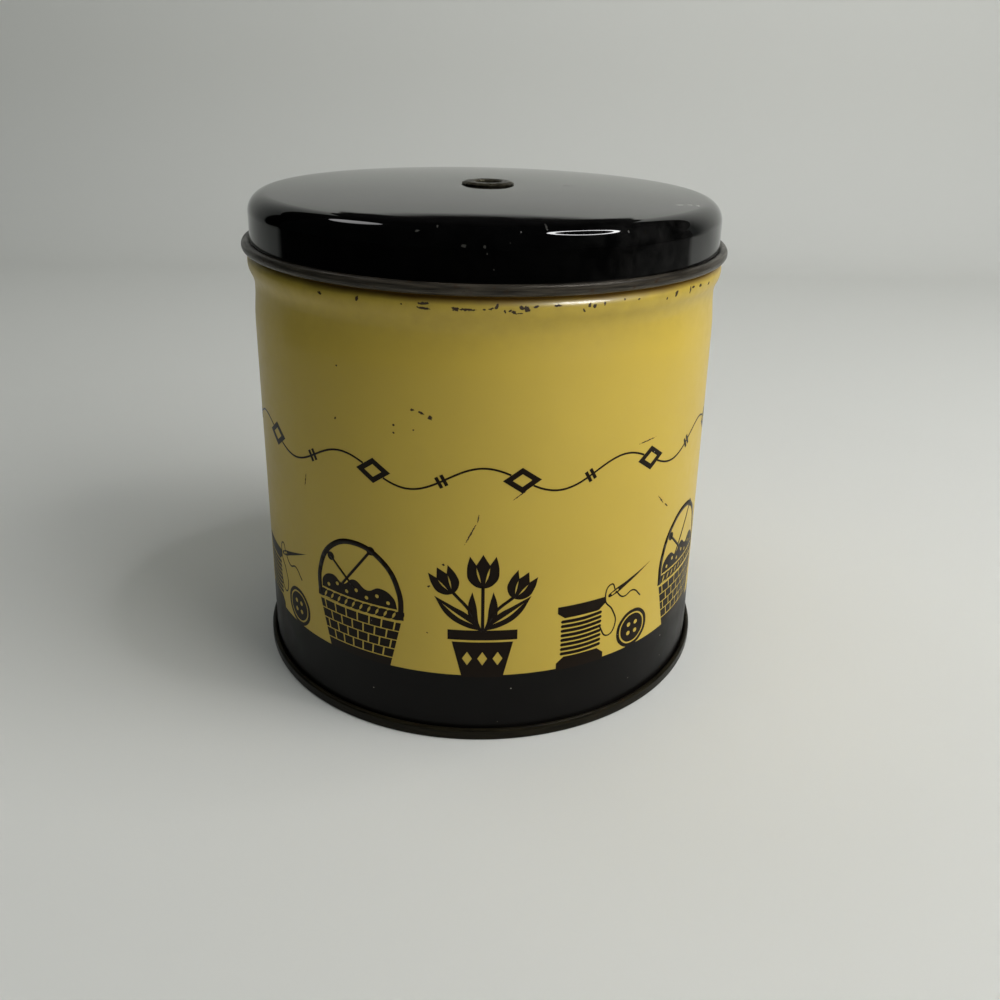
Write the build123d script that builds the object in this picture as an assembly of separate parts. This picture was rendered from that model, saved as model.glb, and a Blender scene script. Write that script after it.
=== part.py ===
from build123d import *
from math import atan, cos, degrees, radians, sin, sqrt, tan
import os

# A round tin for a ball of yarn, with a slip lid and an eyelet for the yarn in the lid.
# The origin is the centre of the base, where the bottom seam meets the table.
# +Z is up and the printed front faces -Y, so the side seam of the body is at +Y.
# Every piece is pressed or rolled from thin sheet. Its section is drawn as one skin of
# the sheet, in radius and height, and the other skin lies one thickness behind it.

# Sheet
body_sheet = 0.30
end_sheet = 0.30
lid_sheet = 0.30
eyelet_sheet = 0.35
washer_sheet = 0.40

# Body wall
wall_radius = 61.3
bead_height = 109.5
cove_height = 6.2
cove_share = 0.6
waist_depth = 0.5
draw_in_length = 9.3
bead_stand = 0.85
bead_top_radius = 2.4
neck_root_radius = 0.6
rim_radius = 0.95
rim_turn = 250.0

# Double seam round the base
seam_height = 2.85
seam_play = 0.2
seam_corner_radius = 0.4
body_hook_height = 2.2
end_hook_foot = 1.3

# Base panel
panel_height = 3.8
panel_corner_radius = 1.2
panel_ring_radius = 49.0
panel_ring_rise = 0.9
panel_ring_run = 3.0

# Side seam of the body
fold_width = 3.6
fold_layers = 3
lap_layers = 2
fold_foot_gap = 1.0

# Lid
lid_stand = 0.1
slip_clearance = 0.15
lid_foot_above_bead = 2.7
lid_height = 15.7
lid_shoulder_radius = 5.0
lid_crown = 1.5
lid_seat_gap = 0.3
curl_radius = 0.9
curl_straight = 0.2
curl_top_turn = 130.0
eyelet_pad_radius = 8.5

# Eyelet and its washer
bore_radius = 3.5
eyelet_flange_radius = 6.9
eyelet_stand = 0.75
eyelet_flare = 25.0
eyelet_brow_radius = 1.2
eyelet_throat_radius = 0.6
hole_clearance = 0.06
clench_radius = 0.9
clench_run = 0.7
clench_gap = 0.02
washer_radius = 6.3
washer_land = 0.5
washer_bend_radius = 0.8
washer_slope = 16.0

# Radii that follow from the sheet and the clearances
wall_bore = wall_radius - body_sheet
lid_radius = wall_radius + lid_stand
lid_bore = lid_radius - lid_sheet
neck_radius = lid_bore - slip_clearance
bead_radius = wall_radius + bead_stand
barrel_radius = bore_radius + eyelet_sheet
lid_hole_radius = barrel_radius + hole_clearance
washer_hole_radius = bore_radius + clench_radius

# Heights that follow from the stack
waist_height = bead_height - cove_height
draw_in_height = waist_height - draw_in_length
bead_top_rise = sqrt((bead_top_radius + neck_root_radius) ** 2
                     - (bead_top_radius + neck_root_radius - bead_radius + neck_radius) ** 2)
lid_foot = bead_height + lid_foot_above_bead
lid_top = lid_foot + lid_height
lid_underside = lid_top - lid_sheet


def behind(edge, along, thickness):
    """Point on the far skin of a sheet that lies to the left of its near skin."""
    return edge @ along + (edge % along).rotate(Axis.Z, 90) * thickness


def sheet_ring(skin, thickness, turn=360):
    """Roll a sheet round the axis from one skin. A negative thickness lies to its right."""
    far_skin = []
    for edge in reversed(skin):
        points = [behind(edge, along, thickness) for along in (1, 0.5, 0)]
        is_arc = edge.geom_type == GeomType.CIRCLE
        far_skin.append(ThreePointArc(*points) if is_arc else Line(points[0], points[2]))
    last_edge = Line(skin[-1] @ 1, far_skin[0] @ 0)
    first_edge = Line(far_skin[-1] @ 1, skin[0] @ 0)
    section = make_face([*skin, last_edge, *far_skin, first_edge])
    return revolve(Plane.XZ * section, Axis.Z, turn)


def jog(start, rise, shift, first_share=1 / 2):
    """Two tangent arcs that carry a rising skin outwards by shift."""
    turn = 2 * degrees(atan(shift / rise))
    reach = rise / sin(radians(abs(turn)))
    first = JernArc(start, (0, 1), reach * first_share, -turn)
    second = JernArc(first @ 1, first % 1, reach * (1 - first_share), turn)
    return [first, second]


def crown_angle():
    """Slope of the lid's crown where it runs into the shoulder."""
    span = lid_radius - lid_shoulder_radius - eyelet_pad_radius
    return 2 * degrees(atan(lid_crown / span))


def shoulder_centre_height():
    """Height of the centre that the lid's shoulder is rounded about."""
    return lid_top - lid_crown - lid_shoulder_radius


def rim_centre_height():
    """Height at which the rim's curl meets the lid's shoulder, less the seat gap."""
    reach = lid_shoulder_radius - lid_sheet - rim_radius
    lead = sqrt(reach ** 2 - (reach - slip_clearance) ** 2)
    return shoulder_centre_height() + lead - lid_seat_gap


def hook_radii():
    """Radii of the skins of the double seam, from the wall outwards."""
    end_hook = wall_radius + seam_play
    body_hook = end_hook + end_sheet + seam_play
    outside = body_hook + body_sheet + seam_play + end_sheet
    return end_hook, body_hook, outside


def upper_skin():
    """Outer skin of the body from the top of its straight wall, over the bead, to the rim."""
    waist = jog((wall_radius, draw_in_height), draw_in_length, -waist_depth)
    cove = jog(waist[1] @ 1, cove_height, waist_depth + bead_stand, cove_share)
    top_share = bead_top_radius / (bead_top_radius + neck_root_radius)
    bead_top = jog(cove[1] @ 1, bead_top_rise, neck_radius - bead_radius, top_share)
    neck = Line(bead_top[1] @ 1, (neck_radius, rim_centre_height()))
    return [*waist, *cove, *bead_top, neck]


def body_skin():
    """Outer skin of the body, from its hook in the bottom seam to its curled rim."""
    _, body_hook, _ = hook_radii()
    hook_bend = (body_hook - wall_radius) / 2
    bend_height = end_sheet + seam_play + body_sheet + hook_bend
    hook = Line((body_hook, body_hook_height), (body_hook, bend_height))
    bend = JernArc(hook @ 1, (0, -1), hook_bend, -180)
    wall = Line(bend @ 1, (wall_radius, draw_in_height))
    upper = upper_skin()
    rim = JernArc(upper[-1] @ 1, (0, 1), rim_radius, rim_turn)
    return [hook, bend, wall, *upper, rim]


def make_body():
    """Body: one sheet rolled round, locked along its side seam and curled at the rim."""
    seam_angle = degrees(fold_width / wall_radius)
    fold_foot = panel_height + end_sheet + fold_foot_gap
    fold_wall = Line((wall_radius, fold_foot), (wall_radius, draw_in_height))
    lap = sheet_ring([fold_wall, *upper_skin()], lap_layers * body_sheet, seam_angle)
    fold = sheet_ring([fold_wall], fold_layers * body_sheet, seam_angle)
    seam = Rot(Z=90 - seam_angle / 2) * (lap + fold)
    return sheet_ring(body_skin(), body_sheet) + seam


def end_skin():
    """Lower skin of the base, from the middle of the panel to its hook in the seam."""
    end_hook, _, outside = hook_radii()
    chuck = wall_bore - seam_play - end_sheet
    ring_lift = 2 * degrees(atan(panel_ring_rise / panel_ring_run))
    ring_bend = panel_ring_run / sin(radians(ring_lift)) / 2
    middle_height = panel_height + panel_ring_rise
    middle = Line((0, middle_height), (panel_ring_radius, middle_height))
    step_down = JernArc(middle @ 1, (1, 0), ring_bend, -ring_lift)
    step_out = JernArc(step_down @ 1, step_down % 1, ring_bend, ring_lift)
    border = Line(step_out @ 1, (chuck - panel_corner_radius, panel_height))
    corner = JernArc(border @ 1, (1, 0), panel_corner_radius, -90)
    chuck_wall = Line(corner @ 1, (chuck, seam_corner_radius))
    heel = JernArc(chuck_wall @ 1, (0, -1), seam_corner_radius, 90)
    foot = Line(heel @ 1, (outside - seam_corner_radius, 0))
    toe = JernArc(foot @ 1, (1, 0), seam_corner_radius, 90)
    top_bend = (outside - end_hook) / 2
    band = Line(toe @ 1, (outside, seam_height - top_bend))
    top = JernArc(band @ 1, (0, 1), top_bend, 180)
    hook = Line(top @ 1, (end_hook, end_hook_foot))
    return [middle, step_down, step_out, border, corner, chuck_wall, heel, foot, toe, band, top, hook]


def make_base_end():
    """Base: a pressed panel, raised off the table and hooked over the body's edge."""
    return sheet_ring(end_skin(), end_sheet)


def lid_skin():
    """Upper skin of the lid, from the eyelet's hole to the raw edge in the curl."""
    slope = crown_angle()
    crown_run = lid_radius - lid_shoulder_radius - eyelet_pad_radius
    crown_radius = crown_run / sin(radians(slope)) + lid_shoulder_radius
    pad = Line((lid_hole_radius, lid_top), (eyelet_pad_radius, lid_top))
    crown = JernArc(pad @ 1, (1, 0), crown_radius, -slope)
    shoulder = JernArc(crown @ 1, crown % 1, lid_shoulder_radius, slope - 90)
    wall = Line(shoulder @ 1, (lid_radius, lid_foot + lid_sheet + curl_radius))
    foot = JernArc(wall @ 1, (0, -1), curl_radius, 180)
    outside = Line(foot @ 1, foot @ 1 + Vector(0, curl_straight))
    tuck = JernArc(outside @ 1, (0, 1), curl_radius, curl_top_turn)
    return [pad, crown, shoulder, wall, foot, outside, tuck]


def make_lid():
    """Lid: a drawn shell with a shallow crown, its edge curled outwards and up."""
    return sheet_ring(lid_skin(), -lid_sheet)


def washer_skin():
    """Upper skin of the dished washer, from its edge to its hole."""
    land = Line((washer_radius, lid_underside), (washer_radius - washer_land, lid_underside))
    bend = JernArc(land @ 1, (-1, 0), washer_bend_radius, washer_slope)
    run = bend @ 1 - Vector(washer_hole_radius, 0)
    dish = Line(bend @ 1, bend @ 1 + (bend % 1) * (run.X / cos(radians(washer_slope))))
    return [land, bend, dish]


def make_eyelet():
    """Eyelet: a flared flange, a barrel through the lid and a clenched lower edge."""
    flange_top = lid_top + eyelet_stand
    flare = radians(eyelet_flare)
    lip = Vector(eyelet_flange_radius, lid_top + eyelet_sheet * cos(flare))
    brow_height = flange_top - eyelet_brow_radius * (1 - cos(flare))
    flange_run = (brow_height - lip.Y) / sin(flare)
    flange = Line(lip, lip + Vector(-cos(flare), sin(flare)) * flange_run)
    brow = JernArc(flange @ 1, flange % 1, eyelet_brow_radius, eyelet_flare)
    top = Line(brow @ 1, (bore_radius + eyelet_throat_radius, flange_top))
    throat = JernArc(top @ 1, (-1, 0), eyelet_throat_radius, 90)
    slope = radians(washer_slope)
    clench_bend = clench_radius - eyelet_sheet
    washer_edge = behind(washer_skin()[-1], 1, washer_sheet)
    meeting = bore_radius + clench_radius + clench_bend * sin(slope)
    contact = washer_edge.Y + (meeting - washer_edge.X) * tan(slope) - clench_gap
    barrel = Line(throat @ 1, (bore_radius, contact + clench_bend * cos(slope)))
    bend = JernArc(barrel @ 1, (0, -1), clench_radius, 90 + washer_slope)
    clench = Line(bend @ 1, bend @ 1 + (bend % 1) * clench_run)
    return sheet_ring([flange, brow, top, throat, barrel, bend, clench], eyelet_sheet)


def make_eyelet_washer():
    """Washer: a dished ring under the lid that the eyelet is clenched over."""
    return sheet_ring(washer_skin(), washer_sheet)


os.makedirs("parts", exist_ok=True)
export_step(make_body(), "parts/body.step")
export_step(make_base_end(), "parts/base_end.step")
export_step(make_lid(), "parts/lid.step")
export_step(make_eyelet(), "parts/eyelet.step")
export_step(make_eyelet_washer(), "parts/eyelet_washer.step")
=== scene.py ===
from math import atan, cos, pi, radians, sin, sqrt

import bpy
from mathutils import Matrix, Vector


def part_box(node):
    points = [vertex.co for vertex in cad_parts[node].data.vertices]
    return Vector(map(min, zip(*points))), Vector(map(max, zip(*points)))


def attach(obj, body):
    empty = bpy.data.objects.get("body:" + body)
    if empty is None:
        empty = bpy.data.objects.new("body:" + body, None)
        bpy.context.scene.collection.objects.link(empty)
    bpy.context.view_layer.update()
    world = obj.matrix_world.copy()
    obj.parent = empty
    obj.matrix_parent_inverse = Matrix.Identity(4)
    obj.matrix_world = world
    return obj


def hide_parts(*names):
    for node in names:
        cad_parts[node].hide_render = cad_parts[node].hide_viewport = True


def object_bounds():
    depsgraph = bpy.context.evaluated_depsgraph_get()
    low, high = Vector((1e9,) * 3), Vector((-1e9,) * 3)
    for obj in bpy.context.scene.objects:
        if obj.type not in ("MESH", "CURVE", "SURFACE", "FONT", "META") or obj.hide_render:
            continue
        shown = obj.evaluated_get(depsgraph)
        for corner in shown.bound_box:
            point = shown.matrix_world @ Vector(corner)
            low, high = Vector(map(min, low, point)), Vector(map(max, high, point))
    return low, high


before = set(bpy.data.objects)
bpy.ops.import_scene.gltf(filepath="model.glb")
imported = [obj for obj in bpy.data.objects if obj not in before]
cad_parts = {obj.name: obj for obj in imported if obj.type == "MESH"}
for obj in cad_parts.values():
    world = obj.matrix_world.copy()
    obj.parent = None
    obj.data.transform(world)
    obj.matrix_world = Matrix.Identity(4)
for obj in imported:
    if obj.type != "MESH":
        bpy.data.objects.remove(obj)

cad_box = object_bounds()
mm = 0.001

# Sizes of the tin that the frame gives
body_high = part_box("body")[1]
base_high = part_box("base_end")[1]
lid_low, lid_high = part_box("lid")
eyelet_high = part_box("eyelet")[1]
washer_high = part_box("eyelet_washer")[1]

# Sizes of the sheet and its bends
sheet = 0.30 * mm
eyelet_sheet = 0.35 * mm
washer_sheet = 0.40 * mm
wall_radius = 61.3 * mm
band_top = 18.0 * mm
bead_height = 109.5 * mm
cove_height = 6.2 * mm
cove_share = 0.6
waist_depth = 0.5 * mm
draw_in_length = 9.3 * mm
bead_top_radius = 2.4 * mm
neck_root_radius = 0.6 * mm
neck_clearance = 0.15 * mm
rim_radius = 0.95 * mm
rim_turn = 250
seam_height = 2.85 * mm
seam_play = 0.2 * mm
seam_corner_radius = 0.4 * mm
body_hook_height = 2.2 * mm
end_hook_foot = 1.3 * mm
fold_width = 3.6 * mm
fold_edge = 0.25 * mm
fold_depth = 0.6 * mm
fold_foot_gap = 1.0 * mm
groove_width = 0.7 * mm
groove_depth = 0.15 * mm
panel_corner_radius = 1.2 * mm
panel_ring_radius = 49.0 * mm
panel_ring_rise = 0.9 * mm
panel_ring_run = 3.0 * mm
lid_shoulder_radius = 5.0 * mm
lid_crown = 1.5 * mm
curl_radius = 0.9 * mm
curl_straight = 0.2 * mm
curl_top_turn = 130
eyelet_pad_radius = 8.5 * mm
bore_radius = 3.5 * mm
eyelet_flare = 25
eyelet_brow_radius = 1.2 * mm
eyelet_throat_radius = 0.6 * mm
hole_clearance = 0.06 * mm
clench_radius = 0.9 * mm
clench_run = 0.7 * mm
clench_height = 127.367 * mm
washer_land = 0.5 * mm
washer_bend_radius = 0.8 * mm
washer_slope = 16
smooth_angle = 35
weld = 0.002 * mm

# Sizes that follow from them
lid_radius = lid_high.x - 2 * curl_radius - sheet
neck_radius = lid_radius - sheet - neck_clearance
seam_radius = base_high.x

# The print on the wall, in millimetres where it is drawn flat
ink_height = 0.03 * mm
ink_bite = 0.01 * mm
ink_column = 1.2 * mm
ink_weld = 0.0005 * mm
border_height = 69.7
border_repeats = 11
first_diamond = 8.1
wave_height = 3.1
wave_width = 0.48
diamond_half = (4.5, 3.15)
diamond_window = 0.5
tick_size = (2.9, 0.85)
tick_gap = 1.35
tick_share = 0.475
frieze_repeats = 4


class Skin:
    """One skin of a sheet, drawn in radius and height as runs and bends that follow on."""

    def __init__(self, radius, height, heading):
        self.heading = radians(heading)
        self.points = [(radius, height, self.heading)]

    def run(self, length):
        radius, height, _ = self.points[-1]
        radius += length * cos(self.heading)
        height += length * sin(self.heading)
        self.points.append((radius, height, self.heading))
        return self

    def bend(self, bend_radius, turn, step=10):
        """An arc of turn degrees, to the left where it is positive."""
        count = max(2, round(abs(turn) / step))
        part = radians(turn) / count
        chord = 2 * bend_radius * sin(abs(part) / 2)
        for _ in range(count):
            radius, height, _ = self.points[-1]
            radius += chord * cos(self.heading + part / 2)
            height += chord * sin(self.heading + part / 2)
            self.heading += part
            self.points.append((radius, height, self.heading))
        return self

    def jog(self, rise, shift, first_share=1 / 2):
        """Two arcs that carry a rising skin outwards by shift."""
        turn = 2 * atan(shift / rise)
        reach = rise / sin(abs(turn))
        self.bend(reach * first_share, -turn * 180 / pi, 3)
        return self.bend(reach * (1 - first_share), turn * 180 / pi, 3)

    def section(self, thickness):
        """The closed line round the sheet, which lies to the left of its skin."""
        near = [(radius, height) for radius, height, _ in self.points]
        far = [(radius - thickness * sin(heading), height + thickness * cos(heading))
               for radius, height, heading in self.points]
        return near + far[::-1]


def deselect():
    bpy.ops.object.select_all(action="DESELECT")


def edit(piece):
    """Opens a piece alone in edit mode with all of it selected."""
    deselect()
    piece.select_set(True)
    bpy.context.view_layer.objects.active = piece
    bpy.ops.object.mode_set(mode="EDIT")
    bpy.ops.mesh.select_all(action="SELECT")


def settle(piece):
    """Puts the place and turn of a piece into its mesh."""
    deselect()
    piece.select_set(True)
    bpy.context.view_layer.objects.active = piece
    bpy.ops.object.transform_apply(location=True, rotation=True, scale=True)


def roll(name, section, steps):
    """Rolls a sheet section round the axis. One point is extruded along it and spun."""
    deselect()
    radius, height = section[0]
    bpy.ops.mesh.primitive_plane_add(size=sheet, location=(radius, 0, height))
    piece = bpy.context.object
    piece.name = piece.data.name = name
    edit(piece)
    bpy.ops.mesh.merge(type="CENTER")
    closed = section[1:] + section[:1] if radius > 0 else section[1:]
    for next_radius, next_height in closed:
        way = (next_radius - radius, 0, next_height - height)
        bpy.ops.mesh.extrude_region_move(TRANSFORM_OT_translate={"value": way})
        radius, height = next_radius, next_height
    bpy.ops.mesh.select_all(action="SELECT")
    bpy.ops.mesh.spin(steps=steps, angle=2 * pi, center=(0, 0, 0), axis=(0, 0, 1))
    bpy.ops.mesh.select_all(action="SELECT")
    bpy.ops.mesh.remove_doubles(threshold=weld)
    bpy.ops.mesh.normals_make_consistent(inside=False)
    bpy.ops.object.mode_set(mode="OBJECT")
    bpy.ops.object.shade_smooth_by_angle(angle=radians(smooth_angle))
    settle(piece)
    return piece


def finish_faces(piece, finishes, which):
    """Gives each face of a piece the finish that which picks from its centre and normal."""
    for finish in finishes:
        piece.data.materials.append(finish)
    for face in piece.data.polygons:
        face.material_index = which(face.center, face.normal)


def outward(centre, normal):
    """How far a normal leans away from the tin's axis."""
    return Vector((normal.x, normal.y)).dot(Vector((centre.x, centre.y)).normalized())


def fold_side_seam(piece):
    """The locked side seam at the back: a fine groove outside and a flat fold inside."""
    low, high = base_high.z + fold_foot_gap, body_high.z - rim_radius
    groove_half, slack = 0.1 * mm, 0.01 * mm
    edit(piece)
    for across in (-fold_width / 2 - fold_edge, -fold_width / 2, -groove_width / 2,
                   groove_width / 2, fold_width / 2, fold_width / 2 + fold_edge):
        bpy.ops.mesh.select_all(action="SELECT")
        bpy.ops.mesh.bisect(plane_co=(across, 0, 0), plane_no=(1, 0, 0))
    bpy.ops.object.mode_set(mode="OBJECT")
    for inner, half, way in ((False, groove_half, groove_depth),
                             (True, fold_width / 2, fold_depth)):
        edit(piece)
        bpy.ops.mesh.select_all(action="DESELECT")
        bpy.ops.object.mode_set(mode="OBJECT")
        for corner in piece.data.vertices:
            x, y, z = corner.co
            within = abs(x) < half + slack and low < z < high
            skin_radius = neck_radius - sheet / 2 if z > bead_height else wall_radius - sheet
            inside = Vector((x, y)).length < skin_radius + 2 * slack
            corner.select = y > 0 and within and inside == inner
        bpy.ops.object.mode_set(mode="EDIT")
        bpy.ops.transform.translate(value=(0, -way, 0))
        bpy.ops.object.mode_set(mode="OBJECT")


def make_body(print_yellow, print_black, tin_inside):
    """Body: the printed wall with its hook, waist, bead, neck and rolled rim."""
    hook_radius = wall_radius + sheet + 2 * seam_play
    hook_bend = (hook_radius - wall_radius) / 2
    bend_height = 2 * sheet + seam_play + hook_bend
    bead_radius = body_high.x
    waist_height = bead_height - cove_height
    fall = bead_top_radius + neck_root_radius
    bead_fall = sqrt(fall ** 2 - (fall - bead_radius + neck_radius) ** 2)
    skin = Skin(hook_radius, body_hook_height, -90)
    skin.run(body_hook_height - bend_height).bend(hook_bend, -180, 20)
    skin.run(band_top - bend_height).run(waist_height - draw_in_length - band_top)
    skin.jog(draw_in_length, -waist_depth)
    skin.jog(cove_height, bead_radius - wall_radius + waist_depth, cove_share)
    skin.jog(bead_fall, neck_radius - bead_radius, bead_top_radius / fall)
    neck_foot = skin.points[-1][1]
    skin.run(body_high.z - rim_radius - neck_foot).bend(rim_radius, rim_turn, 15)
    piece = roll("tin_body", skin.section(sheet), 288)
    fold_side_seam(piece)

    def which(centre, normal):
        if outward(centre, normal) < 0 and centre.z < body_high.z - rim_radius:
            return 2
        if centre.z > bead_height + bead_fall:
            return 2
        return 1 if centre.z < band_top else 0

    finish_faces(piece, [print_yellow, print_black, tin_inside], which)
    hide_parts("body")
    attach(piece, "tin")
    return piece


def make_base(ring_metal, tin_inside):
    """Base: a pressed panel in a double seam, which is the dark ring at the foot."""
    chuck = wall_radius - 2 * sheet - seam_play
    lift = 2 * atan(panel_ring_rise / panel_ring_run) * 180 / pi
    ring_bend = panel_ring_run / sin(radians(lift)) / 2
    hook_radius = wall_radius + seam_play
    top_bend = (seam_radius - hook_radius) / 2
    border = chuck - panel_corner_radius - panel_ring_radius - panel_ring_run
    panel_height = base_high.z - sheet - panel_ring_rise
    skin = Skin(0, base_high.z - sheet, 0)
    skin.run(panel_ring_radius).bend(ring_bend, -lift, 5).bend(ring_bend, lift, 5)
    skin.run(border).bend(panel_corner_radius, -90)
    skin.run(panel_height - panel_corner_radius - seam_corner_radius)
    skin.bend(seam_corner_radius, 90).run(seam_radius - seam_corner_radius * 2 - chuck)
    skin.bend(seam_corner_radius, 90).run(seam_height - top_bend - seam_corner_radius)
    skin.bend(top_bend, 180).run(seam_height - top_bend - end_hook_foot)
    piece = roll("tin_base", skin.section(sheet), 288)

    def which(centre, normal):
        return 1 if centre.z > seam_height and normal.z > 0 else 0

    finish_faces(piece, [ring_metal, tin_inside], which)
    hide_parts("base_end")
    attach(piece, "tin")
    return piece


def make_lid(lid_enamel, curl_enamel, tin_inside):
    """Lid: a drawn shell with a shallow crown, its edge curled outwards and up."""
    crown_run = lid_radius - lid_shoulder_radius - eyelet_pad_radius
    slope = 2 * atan(lid_crown / crown_run)
    crown_radius = crown_run / sin(slope) + lid_shoulder_radius
    tilt = slope * 180 / pi
    hole_radius = bore_radius + eyelet_sheet + hole_clearance
    skin = Skin(hole_radius, lid_high.z, 0).run(eyelet_pad_radius - hole_radius)
    skin.bend(crown_radius, -tilt, 0.25).bend(lid_shoulder_radius, tilt - 90, 5)
    shoulder_foot = skin.points[-1][1]
    skin.run(shoulder_foot - lid_low.z - sheet - curl_radius)
    skin.bend(curl_radius, 180).run(curl_straight).bend(curl_radius, curl_top_turn)
    piece = roll("tin_lid", skin.section(-sheet), 288)

    def which(centre, normal):
        radius = Vector((centre.x, centre.y)).length
        if radius > lid_radius + 0.1 * mm:
            return 1
        inner = normal.z < -0.01 or outward(centre, normal) < -0.5
        return 2 if inner else 0

    finish_faces(piece, [lid_enamel, curl_enamel, tin_inside], which)
    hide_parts("lid")
    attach(piece, "lid_set")
    return piece


def make_eyelet(eyelet_metal):
    """Eyelet: a flared flange, a barrel through the lid and a clenched lower edge."""
    flare = radians(eyelet_flare)
    lip_height = lid_high.z + eyelet_sheet * cos(flare)
    rise = eyelet_high.z - lip_height - eyelet_brow_radius * (1 - cos(flare))
    skin = Skin(eyelet_high.x, lip_height, 180 - eyelet_flare)
    skin.run(rise / sin(flare)).bend(eyelet_brow_radius, eyelet_flare, 5)
    skin.run(skin.points[-1][0] - bore_radius - eyelet_throat_radius)
    skin.bend(eyelet_throat_radius, 90)
    skin.run(eyelet_high.z - eyelet_throat_radius - clench_height)
    skin.bend(clench_radius, 90 + washer_slope).run(clench_run)
    piece = roll("lid_eyelet", skin.section(eyelet_sheet), 128)
    piece.data.materials.append(eyelet_metal)
    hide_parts("eyelet")
    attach(piece, "lid_set")
    return piece


def make_washer(eyelet_metal):
    """Washer: the dished ring under the lid that the eyelet is clenched over."""
    skin = Skin(washer_high.x, washer_high.z, 180).run(washer_land)
    skin.bend(washer_bend_radius, washer_slope, 4)
    dish = skin.points[-1][0] - bore_radius - clench_radius
    skin.run(dish / cos(radians(washer_slope)))
    piece = roll("eyelet_washer_ring", skin.section(washer_sheet), 128)
    piece.data.materials.append(eyelet_metal)
    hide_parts("eyelet_washer")
    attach(piece, "lid_set")
    return piece


def place(outline, x, z, size=1, tilt=0):
    """Moves, scales and turns an outline. A third value of a point marks a corner."""
    c, s = size * cos(radians(tilt)), size * sin(radians(tilt))
    return [(x + p[0] * c - p[1] * s, z + p[0] * s + p[1] * c, *p[2:]) for p in outline]


def mirror(outline):
    return [(-p[0], *p[1:]) for p in outline]


def corners(points):
    return [(x, z, 1) for x, z in points]


def disc(x, z, radius):
    return [(x + radius * cos(k * pi / 4), z + radius * sin(k * pi / 4)) for k in range(8)]


def draw(points, drawing, closed):
    """Adds one line to a drawing, smooth except at its corners."""
    spline = drawing.splines.new("BEZIER")
    spline.bezier_points.add(len(points) - 1)
    for knot, point in zip(spline.bezier_points, points):
        knot.co = (point[0] * mm, point[1] * mm, 0)
        kind = "VECTOR" if len(point) > 2 else "AUTO"
        knot.handle_left_type = knot.handle_right_type = kind
    spline.use_cyclic_u = closed


def to_mesh(drawing):
    deselect()
    piece = bpy.data.objects.new("ink", drawing)
    bpy.context.scene.collection.objects.link(piece)
    piece.select_set(True)
    bpy.context.view_layer.objects.active = piece
    bpy.ops.object.convert(target="MESH")
    return bpy.context.object


def fill(outlines, proud=1.0):
    """A layer of ink inside outlines, with a hole where one lies in another."""
    drawing = bpy.data.curves.new("ink", "CURVE")
    drawing.dimensions = "2D"
    drawing.resolution_u = 8
    drawing.fill_mode = "BOTH"
    drawing.extrude = (ink_height * proud + ink_bite) / 2
    for outline in outlines:
        draw(outline, drawing, True)
    return to_mesh(drawing)


def line(points, width, proud=0.9):
    """A pen line of ink, as wide as its nib."""
    nib = bpy.data.curves.new("nib", "CURVE")
    nib.dimensions = "2D"
    nib.fill_mode = "NONE"
    half = (ink_height * proud + ink_bite) / mm / 2
    draw(corners([(-width / 2, -half), (width / 2, -half), (width / 2, half),
                  (-width / 2, half)]), nib, True)
    holder = bpy.data.objects.new("nib", nib)
    bpy.context.scene.collection.objects.link(holder)
    drawing = bpy.data.curves.new("ink", "CURVE")
    drawing.dimensions = "2D"
    drawing.resolution_u = 8
    drawing.fill_mode = "NONE"
    drawing.bevel_mode = "OBJECT"
    drawing.bevel_object = holder
    drawing.use_fill_caps = True
    draw(points, drawing, False)
    piece = to_mesh(drawing)
    bpy.data.objects.remove(holder)
    return piece


def join(pieces, name):
    deselect()
    for piece in pieces:
        piece.select_set(True)
    bpy.context.view_layer.objects.active = pieces[0]
    bpy.ops.object.join()
    pieces[0].name = pieces[0].data.name = name
    return pieces[0]


def wrap(pieces, name, repeats, first=0):
    """Lays one repeat of the print round the wall and copies it right round the tin."""
    piece = join(pieces, name)
    edit(piece)
    bpy.ops.mesh.remove_doubles(threshold=ink_weld)
    low = min(v[0] for v in piece.bound_box)
    high = max(v[0] for v in piece.bound_box)
    for k in range(1, int((high - low) / ink_column) + 1):
        bpy.ops.mesh.select_all(action="SELECT")
        bpy.ops.mesh.bisect(plane_co=(low + k * ink_column, 0, 0), plane_no=(1, 0, 0))
    bpy.ops.mesh.select_all(action="SELECT")
    bpy.ops.mesh.normals_make_consistent(inside=False)
    bpy.ops.object.mode_set(mode="OBJECT")
    piece.rotation_euler = (pi / 2, 0, 0)
    settle(piece)
    layer_radius = wall_radius + (ink_height - ink_bite) / 2
    bend = piece.modifiers.new("wrap", "SIMPLE_DEFORM")
    bend.deform_method = "BEND"
    bend.deform_axis = "Z"
    bend.angle = (high - low) / layer_radius
    bpy.ops.object.modifier_apply(modifier=bend.name)
    piece.location = (0, -layer_radius, 0)
    settle(piece)
    copies = [piece]
    for k in range(1, repeats):
        copy = piece.copy()
        copy.data = piece.data.copy()
        bpy.context.scene.collection.objects.link(copy)
        copy.rotation_euler = (0, 0, 2 * pi * k / repeats)
        settle(copy)
        copies.append(copy)
    piece = join(copies, name)
    piece.rotation_euler = (0, 0, radians(first))
    settle(piece)
    return piece


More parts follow.
